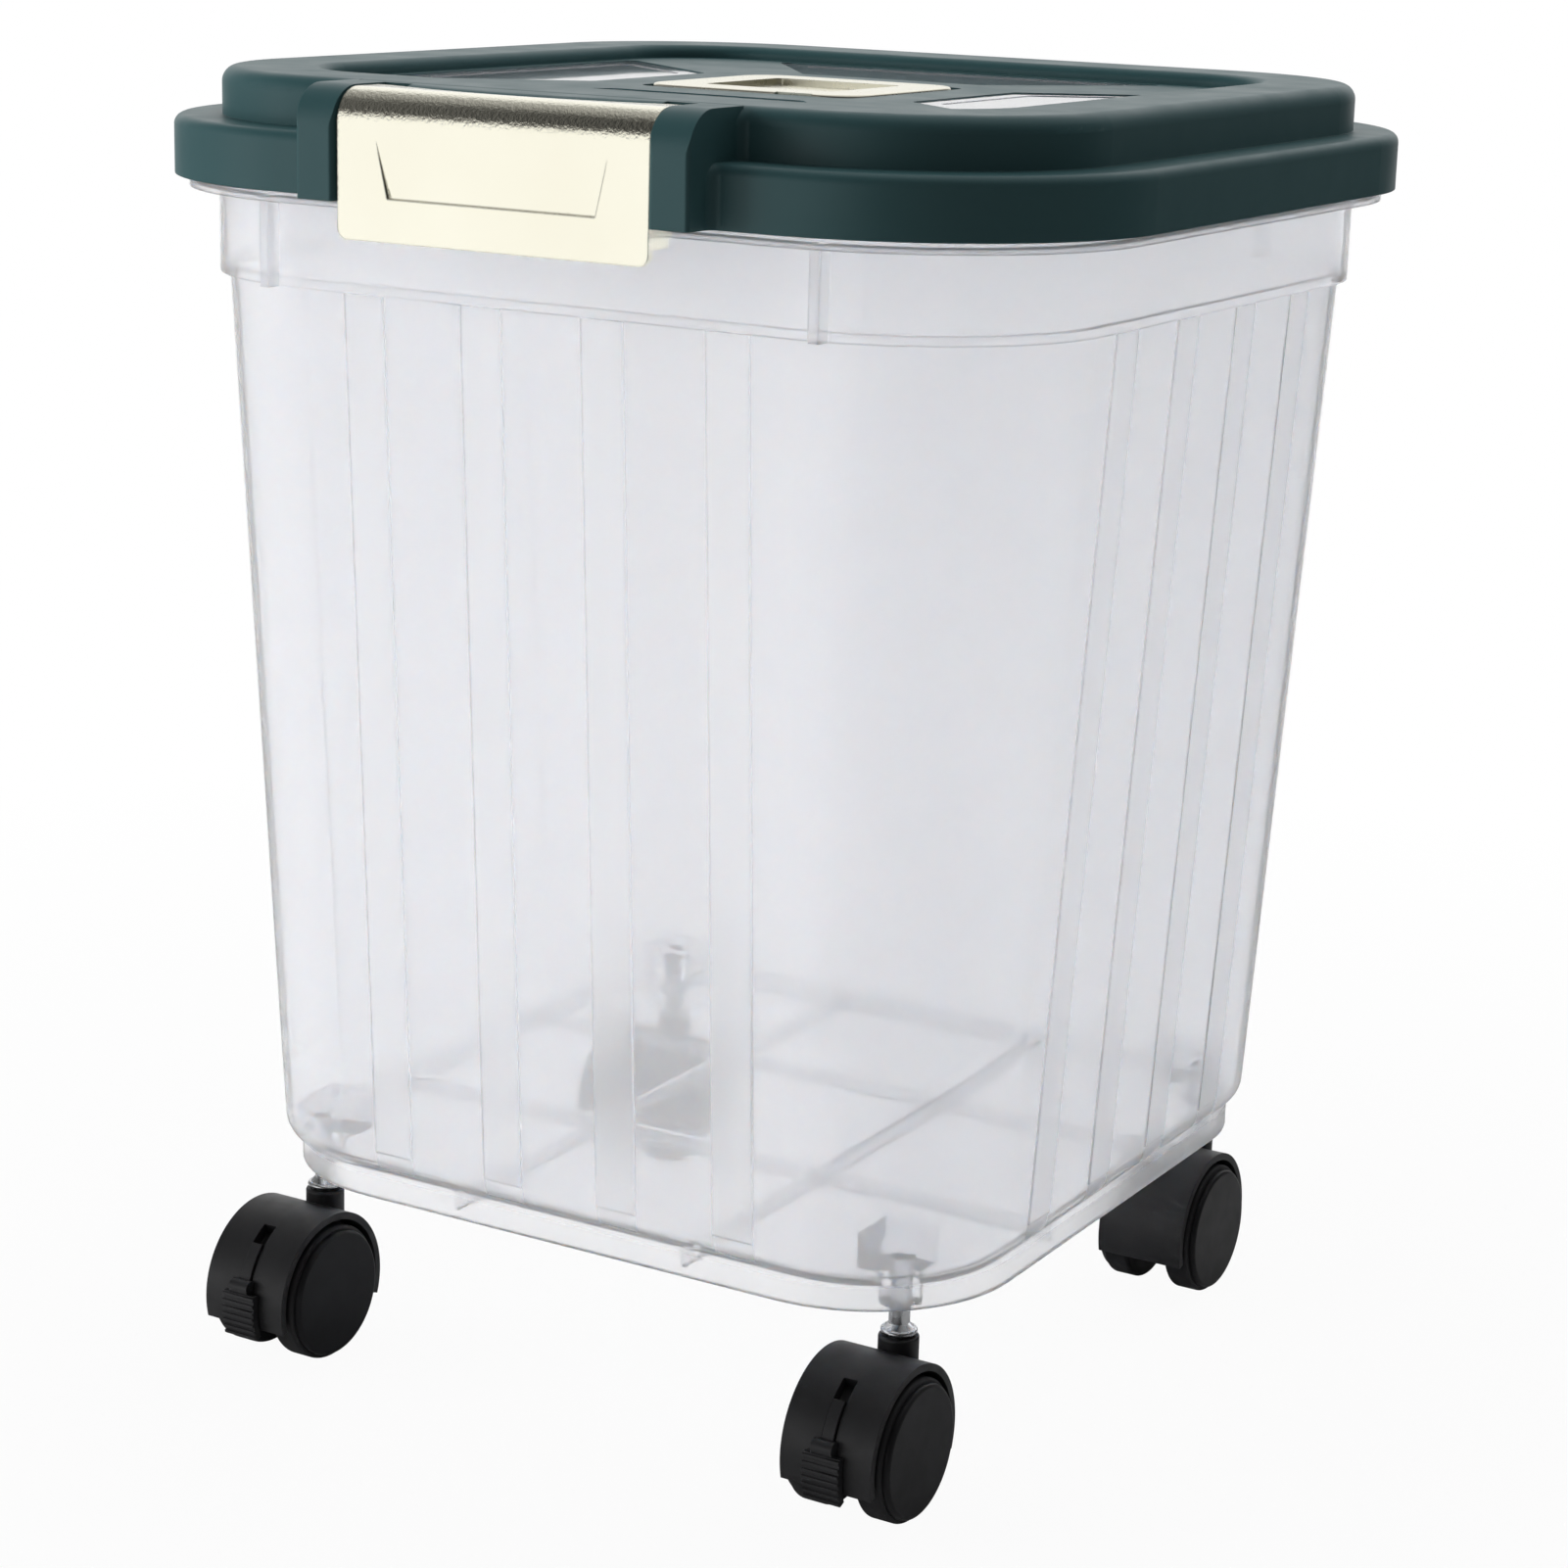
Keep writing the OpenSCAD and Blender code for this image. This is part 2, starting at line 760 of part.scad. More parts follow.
module latch_shell_profile() {
    r = latch_bend_r;
    difference() {
        union() {
            translate([-latch_front_y, latch_bottom_z])
                square([latch_t + 1, latch_top_z - r - latch_bottom_z]);
            translate([-latch_front_y + r, latch_top_z - latch_t])
                square([latch_front_y - r - latch_axis_y, latch_t]);
            translate([-latch_front_y + r, latch_top_z - r])
                intersection() {
                    circle(r);
                    translate([-r, 0])
                        square([r, r]);
                }
        }
        translate([-latch_front_y + latch_t, latch_bottom_z - 1])
            square([latch_front_y, latch_top_z - r - latch_bottom_z + 1]);
        translate([-latch_front_y + r, latch_top_z - r])
            circle(r - latch_t);
    }
}

// Ledge inside the latch, stepped back below, that closes against the lip of the tub's flange.
module latch_hook() {
    side_inset = 1;
    step_back = 1.5;
    hook_w = latch_w - 2 * side_inset;
    hook_depth = latch_front_y - latch_t / 2 - hook_tip_y;
    difference() {
        translate([-hook_w / 2, -latch_front_y + latch_t / 2, hook_bottom_z]) {
            cube([hook_w, hook_depth - step_back, skirt_z - hook_bottom_z]);
            translate([0, 0, hook_below])
                cube([hook_w, hook_depth, skirt_z - hook_bottom_z - hook_below]);
        }
        translate([0, -latch_axis_y, latch_axis_z])
            rod_x(hook_sweep_r, latch_w + 2);
    }
}

module latch_plate() {
    color(GOLD)
        difference() {
            union() {
                difference() {
                    translate([-latch_w / 2, 0, 0])
                        rotate([90, 0, 90])
                            linear_extrude(latch_w)
                                latch_shell_profile();
                    translate([0, -sag_axis_y, latch_top_z - latch_bend_r])
                        cylinder(h = latch_bend_r + 1, r = sag_r);
                }
                for (x = [-1, 1])
                    translate([x * (latch_w - ear_l) / 2, -latch_axis_y, latch_axis_z])
                        rod_x(ear_r, ear_l);
                latch_hook();
            }
            translate([0, -latch_axis_y, latch_axis_z])
                rod_x(latch_pin_r + run_clear, latch_w + 2);
            latch_corner_trim();
            finger_grip();
        }
}

// Rounds the two bottom corners of the latch plate.
module latch_corner_trim() {
    r = 3;
    for (x = [-1, 1])
        translate([x * (latch_w / 2 - r), 0, latch_bottom_z + r])
            rotate([90, 0, 0])
                linear_extrude(2 * latch_front_y, center = true)
                    difference() {
                        translate([x > 0 ? 0 : -r - 1, -r - 1])
                            square([r + 1, r + 1]);
                        circle(r);
                    }
}

// Wedge-shaped hollow with slanting sides in the front of the latch plate, deepest at its lower end.
module finger_grip() {
    grip_rise = 11.4;
    grip_h = 15;
    side_slant = 3.6;
    bottom_half = latch_w / 3;
    top_half = bottom_half + side_slant;
    low = latch_bottom_z + grip_rise;
    high = low + grip_h;
    intersection() {
        translate([0, -latch_front_y + grip_depth + 1, 0])
            rotate([90, 0, 0])
                linear_extrude(grip_depth + 2)
                    polygon([[-bottom_half, low], [bottom_half, low], [top_half, high], [-top_half, high]]);
        rotate([90, 0, 90])
            linear_extrude(2 * top_half, center = true)
                polygon([[-latch_front_y - 1, low], [-latch_front_y + grip_depth, low],
                    [-latch_front_y, high], [-latch_front_y - 1, high]]);
    }
}

module latch_pins() {
    inner = latch_w / 2 - ear_l + 0.5;
    outer = bay_half + latch_pin_seat - held_clear;
    color(ZINC)
        for (x = [-1, 1])
            translate([x * (inner + outer) / 2, -latch_axis_y, latch_axis_z])
                rod_x(latch_pin_r, outer - inner);
}

module hinge_pins() {
    color(ZINC)
        for (x = [-1, 1])
            translate([x * hinge_split, hinge_y, hinge_z])
                rod_x(hinge_pin_r, 2 * hinge_pin_half);
}

// ---------- casters ----------

function stem_xy(corner) =
    corner == "front_left" ? [-stem_pos, -stem_pos] :
    corner == "front_right" ? [stem_pos, -stem_pos] :
    corner == "rear_left" ? [-stem_pos, stem_pos] : [stem_pos, stem_pos];

module at_stem(corner) {
    translate([stem_xy(corner)[0], stem_xy(corner)[1], 0])
        children();
}

module at_axle(corner) {
    translate([stem_xy(corner)[0], stem_xy(corner)[1] - trail, wheel_r])
        children();
}

module caster_stem(corner) {
    flange_t = 1.8;
    flange_low = collar_z + clear;
    color(ZINC)
        at_stem(corner) {
            translate([0, 0, wheel_r + 8])
                cylinder(h = stem_top_z - wheel_r - 8, r = stem_r);
            translate([0, 0, flange_low])
                rotate_extrude() {
                    square([stem_flange_r - flange_t / 2, flange_t]);
                    translate([stem_flange_r - flange_t / 2, flange_t / 2])
                        circle(flange_t / 2);
                }
            translate([0, 0, flange_low + flange_t])
                cylinder(h = 1.4, r1 = stem_r + 1.2, r2 = stem_r);
        }
}

module caster_hood(corner, slotted) {
    color(BLACK)
        difference() {
            union() {
                at_axle(corner) {
                    arc_band(hood_inner_r, hood_r, hood_w, dome_front_angle, dome_rear_angle);
                    arc_band(axle_r + 1, hood_r - 1, web_w, dome_front_angle, dome_rear_angle);
                    rod_x(axle_r + 3.2, 2 * wheel_in_x - 2 * clear);
                }
                at_stem(corner)
                    translate([0, 0, wheel_r + 6])
                        rotate_extrude()
                            rounded_step(collar_r, 0, collar_z - wheel_r - 6, 0.8);
            }
            at_stem(corner)
                translate([0, 0, wheel_r + 8 - run_clear])
                    cylinder(h = hood_r * 2, r = stem_r + run_clear);
            at_axle(corner) {
                rod_x(axle_r + held_clear, hood_w);
                if (slotted)
                    arc_band(hood_inner_r - 1.4, hood_r + 1, slot_w, dome_front_angle - 1, slot_top_angle);
            }
        }
}

module caster_axle(corner) {
    color(ZINC)
        at_axle(corner)
            rod_x(axle_r, hood_w);
}

// side is -1 for the left wheel and 1 for the right wheel.
module caster_wheel(corner, side) {
    edge_r = 1.2;
    color(BLACK)
        at_axle(corner)
            rotate([0, side * 90, 0])
                translate([0, 0, wheel_in_x])
                    difference() {
                        rotate_extrude() {
                            span(0, wheel_r, edge_r, tread_w - edge_r);
                            span(0, wheel_r - edge_r, 0, tread_w);
                            for (z = [edge_r, tread_w - edge_r])
                                translate([wheel_r - edge_r, z])
                                    circle(edge_r);
                        }
                        translate([0, 0, -1])
                            cylinder(h = tread_w + 2, r = axle_r + run_clear);
                    }
}

module wheel_cap(corner, side) {
    edge_r = cap_t * 0.7;
    color(BLACK)
        at_axle(corner)
            rotate([0, side * 90, 0])
                translate([0, 0, wheel_in_x + tread_w])
                    rotate_extrude()
                        rounded_step(cap_r, 0, cap_t, edge_r);
}

// Brake lever: a strap that slides in the slot of the hood, a round boss and a ridged pad.
module caster_brake(corner) {
    strap_in = hood_inner_r - 0.8;
    strap_out = hood_r + 0.7;
    pad_in = hood_r + clear;
    pad_out = pad_in + 2.2;
    ridge_count = 7;
    pad_span = brake_pad_top_angle - brake_pad_bottom_angle;
    color(BLACK)
        at_axle(corner) {
            arc_band(strap_in, strap_out, slot_w - 2 * clear, dome_front_angle + 3, brake_top_angle);
            arc_band(pad_in, pad_out, brake_w, brake_pad_bottom_angle, brake_pad_top_angle);
            difference() {
                rotate([-brake_boss_angle, 0, 0])
                    translate([0, -pad_in - 1, 0])
                        rod_x(2.3, 6.6);
                rod_x(pad_in, 8);
            }
            for (i = [0:ridge_count - 1])
                let (a = brake_pad_bottom_angle + (i + 0.5) * pad_span / ridge_count)
                    arc_band(pad_out - 0.4, pad_out + 0.5, brake_w, a - 0.9, a + 0.9);
        }
}

// ---------- the model ----------

bin_body();
lid_frame();
window_front();
window_rear();
window_left();
window_right();
centre_plate();
lid_gasket();
latch_plate();
latch_pins();
hinge_pins();
caster_stem("front_left");  // stem_front_left
caster_hood("front_left", true);  // hood_front_left
caster_axle("front_left");  // axle_front_left
caster_wheel("front_left", -1);  // wheel_left_front_left
caster_wheel("front_left", 1);  // wheel_right_front_left
wheel_cap("front_left", -1);  // cap_left_front_left
wheel_cap("front_left", 1);  // cap_right_front_left
caster_brake("front_left");  // brake_front_left
caster_stem("front_right");  // stem_front_right
caster_hood("front_right", true);  // hood_front_right
caster_axle("front_right");  // axle_front_right
caster_wheel("front_right", -1);  // wheel_left_front_right
caster_wheel("front_right", 1);  // wheel_right_front_right
wheel_cap("front_right", -1);  // cap_left_front_right
wheel_cap("front_right", 1);  // cap_right_front_right
caster_brake("front_right");  // brake_front_right
caster_stem("rear_left");  // stem_rear_left
caster_hood("rear_left", false);  // hood_rear_left
caster_axle("rear_left");  // axle_rear_left
caster_wheel("rear_left", -1);  // wheel_left_rear_left
caster_wheel("rear_left", 1);  // wheel_right_rear_left
wheel_cap("rear_left", -1);  // cap_left_rear_left
wheel_cap("rear_left", 1);  // cap_right_rear_left
caster_stem("rear_right");  // stem_rear_right
caster_hood("rear_right", false);  // hood_rear_right
caster_axle("rear_right");  // axle_rear_right
caster_wheel("rear_right", -1);  // wheel_left_rear_right
caster_wheel("rear_right", 1);  // wheel_right_rear_right
wheel_cap("rear_right", -1);  // cap_left_rear_right
wheel_cap("rear_right", 1);  // cap_right_rear_right
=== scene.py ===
"""Rice bin with a flip lid: finishes, camera and lights around the fixed frame, in metres."""
import math

import bmesh
import bpy
from mathutils import Matrix, Vector

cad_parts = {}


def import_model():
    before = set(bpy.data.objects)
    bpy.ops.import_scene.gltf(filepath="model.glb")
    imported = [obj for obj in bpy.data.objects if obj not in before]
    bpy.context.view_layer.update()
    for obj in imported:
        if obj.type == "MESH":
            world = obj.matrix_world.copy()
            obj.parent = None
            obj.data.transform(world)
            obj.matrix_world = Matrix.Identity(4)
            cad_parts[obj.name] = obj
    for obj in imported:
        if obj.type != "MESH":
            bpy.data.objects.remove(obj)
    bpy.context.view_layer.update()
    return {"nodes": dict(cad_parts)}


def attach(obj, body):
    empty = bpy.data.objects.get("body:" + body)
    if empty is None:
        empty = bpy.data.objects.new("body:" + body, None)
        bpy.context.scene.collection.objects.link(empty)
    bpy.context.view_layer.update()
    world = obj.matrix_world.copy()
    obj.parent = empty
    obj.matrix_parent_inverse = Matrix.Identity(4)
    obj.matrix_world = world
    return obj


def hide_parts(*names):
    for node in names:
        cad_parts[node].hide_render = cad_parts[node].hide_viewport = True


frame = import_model()
nodes = frame["nodes"]

# Places on the tub where its surface is etched, in metres
STRIP_PITCH = 0.0387
STRIP_WIDTH = 0.013
WALL_NEAR = 0.112
FLOOR_BOTTOM = 0.0624
FLOOR_TOP = 0.066
BAND_BOTTOM = 0.325

# Haze in the tub's plastic: how many specks lie along a metre, and the share of them that scatter
SPECKS_PER_METRE = 30000
SCATTERING_SHARE = 0.14
ETCHED_ROUGHNESS = 0.45


# ---------- node materials ----------

class Finish:
    """One material: a principled shader and short calls that build its procedural detail."""

    def __init__(self, name, **sockets):
        self.material = bpy.data.materials.new(name)
        self.material.use_nodes = True
        self.tree = self.material.node_tree
        self.shader = self.tree.nodes["Principled BSDF"]
        for label, value in sockets.items():
            socket = self.shader.inputs[label.replace("_", " ")]
            socket.default_value = (*value, 1.0) if label.endswith("Color") else value

    def node(self, kind, **settings):
        made = self.tree.nodes.new(kind)
        for key, value in settings.items():
            setattr(made, key, value)
        return made

    def link(self, source, target):
        self.tree.links.new(source, target)

    def place(self, scale=(1, 1, 1)):
        """Object coordinates, stretched by scale."""
        coords = self.node("ShaderNodeTexCoord")
        mapping = self.node("ShaderNodeMapping")
        mapping.inputs["Scale"].default_value = scale
        self.link(coords.outputs["Object"], mapping.inputs["Vector"])
        return mapping.outputs["Vector"]

    def noise(self, scale, detail=3.0, roughness=0.5, stretch=(1, 1, 1)):
        texture = self.node("ShaderNodeTexNoise")
        texture.inputs["Scale"].default_value = scale
        texture.inputs["Detail"].default_value = detail
        texture.inputs["Roughness"].default_value = roughness
        self.link(self.place(stretch), texture.inputs["Vector"])
        return texture.outputs["Fac"]

    def spread(self, source, low, high, start=0.3, end=0.7):
        """A value from low to high as source goes from start to end."""
        span = self.node("ShaderNodeMapRange")
        span.inputs["From Min"].default_value = start
        span.inputs["From Max"].default_value = end
        span.inputs["To Min"].default_value = low
        span.inputs["To Max"].default_value = high
        self.link(source, span.inputs["Value"])
        return span.outputs["Result"]

    def tint(self, source, first, second):
        """A colour from first to second as source goes from 0 to 1."""
        mix = self.node("ShaderNodeMix", data_type="RGBA")
        mix.inputs["A"].default_value = (*first, 1.0)
        mix.inputs["B"].default_value = (*second, 1.0)
        self.link(source, mix.inputs["Factor"])
        return mix.outputs["Result"]

    def colour(self, source):
        self.link(source, self.shader.inputs["Base Color"])

    def roughness(self, source):
        self.link(source, self.shader.inputs["Roughness"])

    def math(self, operation, *values):
        made = self.node("ShaderNodeMath", operation=operation)
        for socket, value in zip(made.inputs, values):
            if isinstance(value, (int, float)):
                socket.default_value = value
            else:
                self.link(value, socket)
        return made.outputs[0]

    def either(self, plain, place, value):
        """The plain value, or another value in the places where the mask is 1."""
        mix = self.node("ShaderNodeMix", data_type="FLOAT")
        self.link(place, mix.inputs["Factor"])
        self.link(plain, mix.inputs["A"])
        mix.inputs["B"].default_value = value
        return mix.outputs["Result"]

    def within(self, value, low, high):
        """1 where the value lies between low and high."""
        above = self.math("GREATER_THAN", value, low)
        below = self.math("LESS_THAN", value, high)
        return self.math("MULTIPLY", above, below)

    def etched_places(self):
        """Mask of the strips on the tub's walls and of its stem blocks and floor ribs."""
        split = self.node("ShaderNodeSeparateXYZ")
        self.link(self.place(), split.inputs[0])
        x, y, z = split.outputs
        across_x = self.math("ABSOLUTE", x)
        across_y = self.math("ABSOLUTE", y)
        on_wall_x = self.math("GREATER_THAN", across_x, WALL_NEAR)
        on_wall_y = self.math("GREATER_THAN", across_y, WALL_NEAR)
        strips = self.math("MAXIMUM", self.math("MULTIPLY", on_wall_x, self.strip_pattern(across_y)),
                           self.math("MULTIPLY", on_wall_y, self.strip_pattern(across_x)))
        strips = self.math("MULTIPLY", strips, self.within(z, FLOOR_TOP, BAND_BOTTOM))
        below = self.within(z, 0, FLOOR_BOTTOM)
        return self.math("MAXIMUM", strips, below)

    def strip_pattern(self, across):
        """1 on the raised strips, by the distance from the wall's middle."""
        half = STRIP_WIDTH / 2
        inner = self.within(across, STRIP_PITCH / 2 - half, STRIP_PITCH / 2 + half)
        outer = self.within(across, STRIP_PITCH * 3 / 2 - half, STRIP_PITCH * 3 / 2 + half)
        return self.math("MAXIMUM", inner, outer)

    def bump(self, *layers, edge=None):
        """Bumps one over another, each as (height, distance in metres, strength). Edges get this radius."""
        last = None
        for height, distance, strength in layers:
            bump = self.node("ShaderNodeBump")
            bump.inputs["Distance"].default_value = distance
            bump.inputs["Strength"].default_value = strength
            self.link(height, bump.inputs["Height"])
            if last:
                self.link(last.outputs["Normal"], bump.inputs["Normal"])
            elif edge:
                rounded = self.node("ShaderNodeBevel", samples=4)
                rounded.inputs["Radius"].default_value = edge
                self.link(rounded.outputs["Normal"], bump.inputs["Normal"])
            last = bump
        self.link(last.outputs["Normal"], self.shader.inputs["Normal"])


def satin_green():
    """Moulded lid: fine spark-eroded grain, faint flow clouds."""
    look = Finish("satin_green", IOR=1.49, Specular_IOR_Level=0.36)
    clouds = look.spread(look.noise(9, 4), 0, 1)
    look.colour(look.tint(clouds, (0.033, 0.089, 0.096), (0.040, 0.099, 0.106)))
    look.roughness(look.spread(look.noise(60, 2), 0.38, 0.46))
    look.bump((look.noise(2600, 2), 0.00003, 0.35), (look.noise(14, 2), 0.0006, 0.12), edge=0.0004)
    return look.material


def milky_clear():
    """Clear polypropylene full of fine haze: part of the light goes straight through, the rest is scattered.
    Its moulded strips, blocks and ribs are etched and let no image through."""
    look = Finish("milky_clear", IOR=1.10, Transmission_Weight=0.79, Subsurface_Weight=1.0,
                  Subsurface_Scale=1.0, Subsurface_Radius=(0.003, 0.0035, 0.004),
                  Coat_Weight=0.25, Coat_Roughness=0.12, Coat_IOR=1.45)
    clouds = look.spread(look.noise(5, 3, stretch=(1, 1, 0.3)), 0, 1)
    look.colour(look.tint(clouds, (0.963, 0.967, 0.993), (0.973, 0.975, 0.996)))
    specks = look.node("ShaderNodeTexWhiteNoise", noise_dimensions="3D")
    look.link(look.place((SPECKS_PER_METRE,) * 3), specks.inputs["Vector"])
    scattering = look.math("GREATER_THAN", specks.outputs["Value"], 1 - SCATTERING_SHARE)
    clear = look.spread(look.noise(40, 2), 0.04, 0.08)
    frosted = look.math("MAXIMUM", scattering, look.etched_places())
    look.roughness(look.either(clear, frosted, ETCHED_ROUGHNESS))
    look.bump((look.noise(18, 2, stretch=(1, 1, 0.35)), 0.0008, 0.15), edge=0.001)
    return look.material


def clear_pane():
    """Polished clear sheet that mirrors the room at a low angle."""
    look = Finish("clear_pane", IOR=1.42, Transmission_Weight=0.88,
                  Coat_Weight=0.05, Coat_Roughness=0.02, Coat_IOR=1.8)
    look.colour(look.tint(look.spread(look.noise(30, 2), 0, 1), (0.82, 0.83, 0.87), (0.86, 0.87, 0.90)))
    look.roughness(look.spread(look.noise(80, 2), 0.02, 0.05))
    look.bump((look.noise(16, 1), 0.0001, 0.03))
    return look.material


def champagne_gold(name, rough_low, rough_high, grain, edge):
    """Bright plated sheet with the fine pebbling of a pressed surface."""
    look = Finish(name, Metallic=1.0)
    look.colour(look.tint(look.spread(look.noise(25, 3), 0, 1), (0.955, 0.925, 0.775), (0.985, 0.960, 0.815)))
    look.roughness(look.spread(look.noise(300, 3), rough_low, rough_high))
    look.bump((look.noise(1000, 3, 0.6), 0.00016, grain), (look.noise(120, 2), 0.0002, 0.06), edge=edge)
    return look.material


def soft_seal():
    look = Finish("soft_seal")
    look.colour(look.tint(look.spread(look.noise(50, 3), 0, 1), (0.80, 0.80, 0.77), (0.86, 0.86, 0.84)))
    look.roughness(look.spread(look.noise(200, 2), 0.6, 0.75))
    look.bump((look.noise(900, 2), 0.00005, 0.3))
    return look.material


def black_moulding(name, rough_low, rough_high, grain, gloss):
    """Black nylon: even grain, slightly lighter where it has been rubbed."""
    look = Finish(name, IOR=1.5, Specular_IOR_Level=gloss)
    look.colour(look.tint(look.spread(look.noise(70, 4), 0, 1), (0.012, 0.012, 0.013), (0.019, 0.019, 0.021)))
    look.roughness(look.spread(look.noise(160, 3), rough_low, rough_high))
    look.bump((look.noise(1900, 2), 0.00005, grain), edge=0.0003)
    return look.material


def bright_zinc():
    look = Finish("bright_zinc", Metallic=1.0)
    look.colour(look.tint(look.spread(look.noise(180, 3), 0, 1), (0.66, 0.67, 0.69), (0.78, 0.79, 0.80)))
    look.roughness(look.spread(look.noise(260, 3), 0.18, 0.32))
    look.bump((look.noise(900, 3), 0.00004, 0.3))
    return look.material


def dress(material, *names):
    for name in names:
        mesh = nodes[name].data
        mesh.materials.clear()
        mesh.materials.append(material)


# Heights in a window's node, and where they go in the flatter pane that is seen
TRAY_UNDERSIDE, TRAY_FLOOR, PANE_FACE = 0.3729, 0.3746, 0.3768
PANE_LEVELS = {TRAY_UNDERSIDE: 0.3744, TRAY_FLOOR: 0.3778, PANE_FACE: 0.3780}
PANE_EDGE = 0.00025


def window_pane(side):
    """A window nearly flush with the straps, with a shallow tray and softened edges."""
    made = bmesh.new()
    made.from_mesh(nodes[f"window_{side}"].data)
    bmesh.ops.remove_doubles(made, verts=made.verts, dist=0.00001)
    for vert in made.verts:
        vert.co.z = PANE_LEVELS.get(round(vert.co.z, 4), vert.co.z)
    bmesh.ops.dissolve_limit(made, angle_limit=math.radians(1), verts=made.verts, edges=made.edges)
    mesh = bpy.data.meshes.new(f"pane_{side}")
    made.to_mesh(mesh)
    made.free()
    pane = bpy.data.objects.new(f"pane_{side}", mesh)
    bpy.context.scene.collection.objects.link(pane)
    soften = pane.modifiers.new("softened_edges", "BEVEL")
    soften.width = PANE_EDGE
    soften.segments = 2
    soften.limit_method = "ANGLE"
    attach(pane, "lid")
    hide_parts(f"window_{side}")
    return pane


CORNERS = ("front_left", "front_right", "rear_left", "rear_right")


def at_corners(*kinds):
    """The names of the nodes of these kinds at all four casters."""
    return [f"{kind}_{corner}" for kind in kinds for corner in CORNERS]


dress(satin_green(), "lid_frame")
dress(milky_clear(), "bin_body")
glassy = clear_pane()
for side in ("front", "rear", "left", "right"):
    window_pane(side).data.materials.append(glassy)
    dress(glassy, f"window_{side}")
dress(champagne_gold("gold_pressed", 0.05, 0.10, grain=0.9, edge=0.0007), "latch_plate")
dress(champagne_gold("gold_satin", 0.26, 0.32, grain=0.1, edge=0.0002), "centre_plate")
dress(soft_seal(), "lid_gasket")
dress(bright_zinc(), "latch_pins", "hinge_pins", *at_corners("stem", "axle"))
dress(black_moulding("black_grained", 0.42, 0.52, grain=0.5, gloss=0.5), *at_corners("hood"),
      "brake_front_left", "brake_front_right")
dress(black_moulding("black_tread", 0.5, 0.62, grain=0.35, gloss=0.3),
      *at_corners("wheel_left", "wheel_right"))
dress(black_moulding("black_smooth", 0.30, 0.38, grain=0.15, gloss=0.16),
      *at_corners("cap_left", "cap_right"))


# ---------- stage ----------

# Cards that gloss and metal see: where each lies, the closeness to it at which its light begins and is full,
# and how bright it is
FRONT_CARD = ((-0.40, -0.88, -0.25), 0.76, 0.86, 1.0)
BACK_CARD = ((-0.45, 0.86, 0.24), 0.74, 0.95, 1.0)
TOP_CARD = ((0.10, 0.35, 0.93), 0.62, 0.90, 0.55)
LEFT_CARD = ((-1.0, 0.0, 0.0), 0.45, 0.90, 0.18)
# Brightness between the cards, and of the room's own light on the object
DARK_ROOM = 0.03
ROOM_LIGHT = 0.20

FLOOR_SIZE = 12
FLOOR_GREY = 0.60
# How far from the middle the floor's shadows begin to fade and are gone, and how white they are at least
SHADOWS_FROM, SHADOWS_TO = 0.2, 0.7
SHADOW_WHITENESS = 0.95
# How far from the middle gloss sees the cards' light on the floor instead of the floor itself
CARDS_FROM, CARDS_TO = 0.25, 0.6


def lobe(look, direction, toward, start, end, strength):
    """Brightness that rises to strength where the direction nears the given one."""
    dot = look.node("ShaderNodeVectorMath", operation="DOT_PRODUCT")
    look.link(direction, dot.inputs[0])
    dot.inputs[1].default_value = Vector(toward).normalized()
    return look.spread(dot.outputs["Value"], 0, strength, start, end)


def mirrored_studio(look, direction):
    """What gloss and metal see of the studio: white cards at the front left and behind, dark elsewhere."""
    total = DARK_ROOM
    for card in (FRONT_CARD, BACK_CARD, TOP_CARD, LEFT_CARD):
        total = look.math("ADD", lobe(look, direction, *card), total)
    return look.math("MINIMUM", total, 1.0)


class World(Finish):
    """The world's node tree, with the same short calls."""

    def __init__(self):
        made = bpy.data.worlds.new("studio")
        bpy.context.scene.world = made
        made.use_nodes = True
        self.tree = made.node_tree
        self.tree.nodes.clear()


def ray_is(look, *kinds):
    """1 for the kinds of light path named."""
    path = look.node("ShaderNodeLightPath")
    found = path.outputs[kinds[0]]
    for kind in kinds[1:]:
        found = look.math("MAXIMUM", found, path.outputs[kind])
    return found


def world():
    look = World()
    direction = look.node("ShaderNodeTexCoord").outputs["Generated"]
    seen = ray_is(look, "Is Camera Ray", "Is Transmission Ray")
    lit = look.either(mirrored_studio(look, direction), seen, 1.0)
    background = look.node("ShaderNodeBackground")
    background.inputs["Color"].default_value = (1, 1, 1, 1)
    look.link(look.either(lit, ray_is(look, "Is Diffuse Ray"), ROOM_LIGHT), background.inputs["Strength"])
    out = look.node("ShaderNodeOutputWorld")
    look.link(background.outputs[0], out.inputs["Surface"])


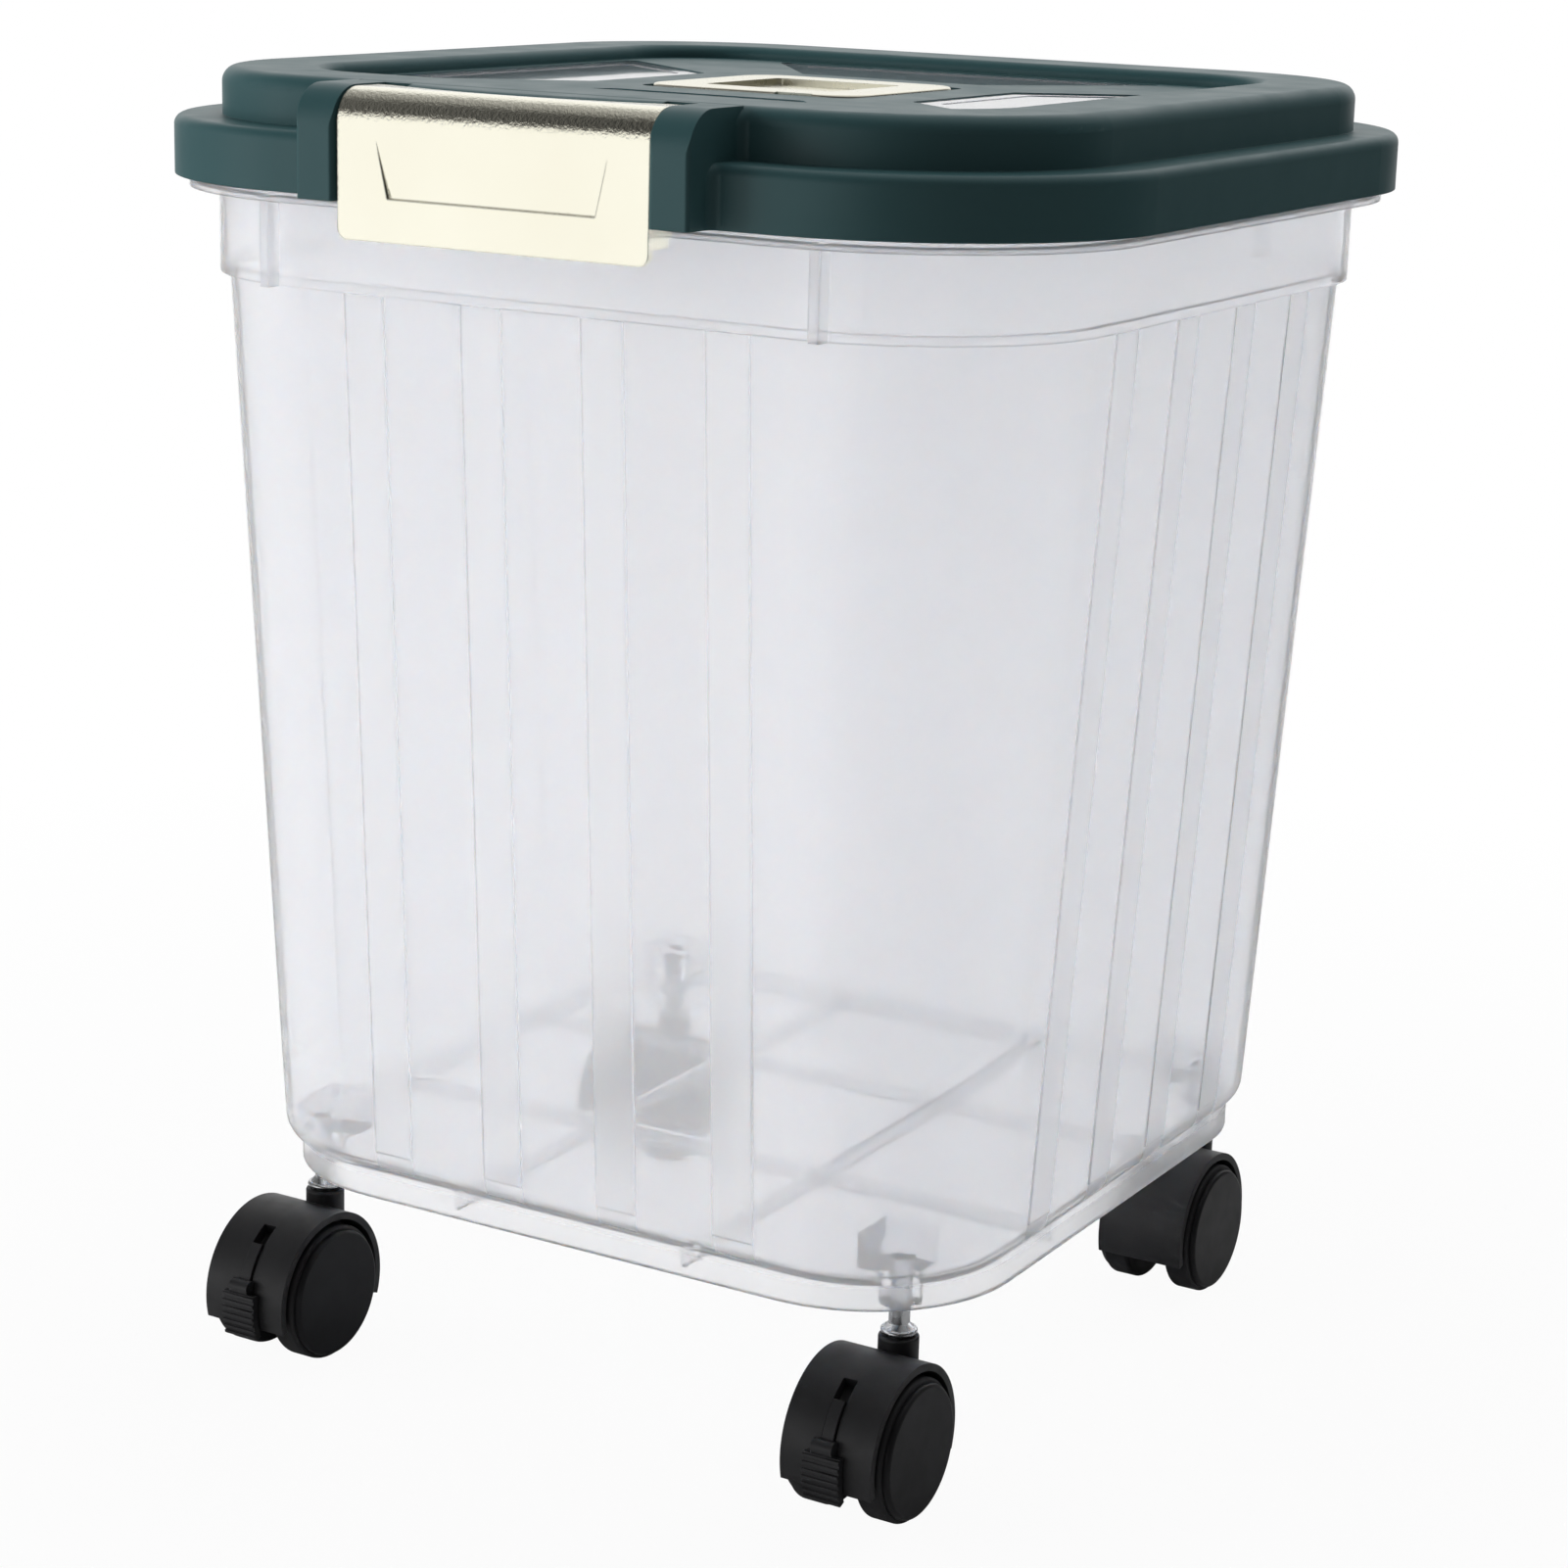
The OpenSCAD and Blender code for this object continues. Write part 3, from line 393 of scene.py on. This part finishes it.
def floor():
    """Pale floor on which the casters stand. Seen directly it is near white but for the shadow."""
    bpy.ops.mesh.primitive_plane_add(size=FLOOR_SIZE, location=(0, 0, 0))
    plane = bpy.context.object
    plane.name = "studio_floor"
    look = Finish("floor_white", Roughness=0.9, Base_Color=(FLOOR_GREY,) * 3, Specular_IOR_Level=0.0)
    place = look.place()
    length = look.node("ShaderNodeVectorMath", operation="LENGTH")
    look.link(place, length.inputs[0])
    direction = look.node("ShaderNodeVectorMath", operation="NORMALIZE")
    look.link(place, direction.inputs[0])
    seen_white = look.spread(length.outputs["Value"], SHADOW_WHITENESS, 1.0, SHADOWS_FROM, SHADOWS_TO)
    glow = look.node("ShaderNodeEmission")
    seen = ray_is(look, "Is Camera Ray", "Is Transmission Ray")
    look.link(look.either(mirrored_studio(look, direction.outputs[0]), seen, 1.0), glow.inputs["Strength"])
    far_off = look.spread(length.outputs["Value"], 0.0, 1.0, CARDS_FROM, CARDS_TO)
    share = look.math("MAXIMUM", look.math("MULTIPLY", seen, seen_white),
                      look.math("MULTIPLY", ray_is(look, "Is Glossy Ray"), far_off))
    mix = look.node("ShaderNodeMixShader")
    look.link(share, mix.inputs[0])
    look.link(look.shader.outputs[0], mix.inputs[1])
    look.link(glow.outputs[0], mix.inputs[2])
    output = next(n for n in look.tree.nodes if n.type == "OUTPUT_MATERIAL")
    look.link(mix.outputs[0], output.inputs["Surface"])
    plane.data.materials.append(look.material)


def softbox(name, centre, target, size, power):
    """A lamp that lights the object but isn't mirrored in it."""
    light = bpy.data.lights.new(name, "AREA")
    light.shape = "RECTANGLE"
    light.size, light.size_y = size
    light.energy = power
    lamp = bpy.data.objects.new(name, light)
    bpy.context.scene.collection.objects.link(lamp)
    lamp.location = centre
    lamp.rotation_euler = (Vector(target) - Vector(centre)).to_track_quat("-Z", "Y").to_euler()
    lamp.visible_glossy = False


def camera():
    """The photograph's view: azimuth and elevation about a point in the bin's middle, with a slight roll."""
    azimuth, elevation, roll = math.radians(30.17), math.radians(14.53), math.radians(1.594)
    distance, target_height, focal_pixels, frame_pixels = 1.1024, 0.1678, 3668.8, 1601
    back = Vector((math.sin(azimuth) * math.cos(elevation), -math.cos(azimuth) * math.cos(elevation),
                   math.sin(elevation)))
    right = Vector((math.cos(azimuth), math.sin(azimuth), 0))
    up = back.cross(right)
    tilted_right = right * math.cos(roll) + up * math.sin(roll)
    tilted_up = up * math.cos(roll) - right * math.sin(roll)
    data = bpy.data.cameras.new("camera")
    data.sensor_width = 36
    data.lens = data.sensor_width * focal_pixels / frame_pixels
    made = bpy.data.objects.new("camera", data)
    bpy.context.scene.collection.objects.link(made)
    place = Matrix((tilted_right, tilted_up, back)).transposed().to_4x4()
    place.translation = Vector((0, 0, target_height)) + back * distance
    made.matrix_world = place
    bpy.context.scene.camera = made


world()
floor()
softbox("key_left", centre=(-1.1, -0.72, 0.52), target=(0, 0, 0.3), size=(0.9, 0.9), power=13)
softbox("top", centre=(-0.1, 0.5, 1.9), target=(0, 0, 0.3), size=(1.4, 1.4), power=12)
softbox("back", centre=(0.6, 1.9, 0.7), target=(0, 0, 0.2), size=(1.8, 1.2), power=14)
camera()

scene = bpy.context.scene
scene.view_settings.view_transform = "Standard"
